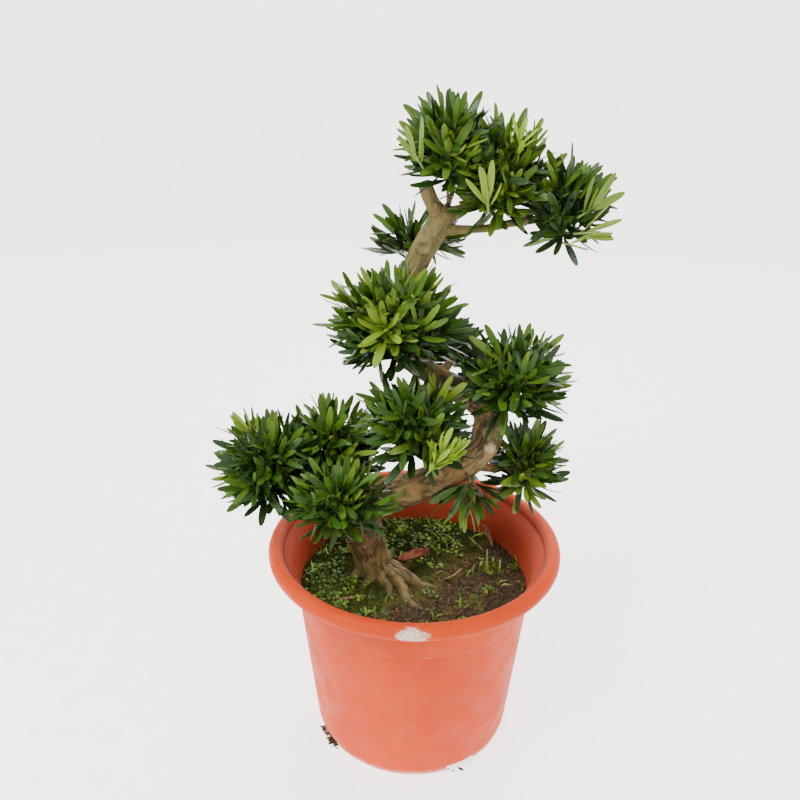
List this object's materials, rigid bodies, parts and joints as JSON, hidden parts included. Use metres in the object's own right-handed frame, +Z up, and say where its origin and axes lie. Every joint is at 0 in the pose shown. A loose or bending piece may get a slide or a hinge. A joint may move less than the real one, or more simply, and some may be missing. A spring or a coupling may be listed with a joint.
{
  "type": "podocarpus",
  "caption": "Podocarpus trained in an S shape with pads of narrow leaves, growing in soil in a round tapered plastic pot with a rolled rim and drain notches",
  "frame": {"origin": "centre of the pot's flat underside", "axes": "+X to the right and +Y away from someone who faces the tree, +Z up"},
  "size_m": [0.3891, 0.3198, 0.7031],
  "materials": {
    "pot": "matte",
    "soil": "matte",
    "bark": "matte",
    "leaf": "satin"
  },
  "bodies": {
    "root": {"bough_back_mid": "bark", "bough_back_upper": "bark", "bough_centre": "bark", "bough_low_left": "bark", "bough_right_low": "bark", "bough_right_mid": "bark", "bough_top_middle": "bark", "bough_top_right": "bark", "cut_stub": "bark", "foliage_back_mid": "leaf", "foliage_back_upper": "leaf", "foliage_centre": "leaf", "foliage_low_front": "leaf", "foliage_low_inner": "leaf", "foliage_low_outer": "leaf", "foliage_mid_left": "leaf", "foliage_right_low": "leaf", "foliage_right_mid": "leaf", "foliage_top_left": "leaf", "foliage_top_middle": "leaf", "foliage_top_right": "leaf", "foliage_under": "leaf", "pot": "pot", "soil": "soil", "trunk_foot": "bark", "trunk_leader": "bark", "trunk_low_arm": "bark", "trunk_mid_arm": "bark"}
  },
  "joints": []
}
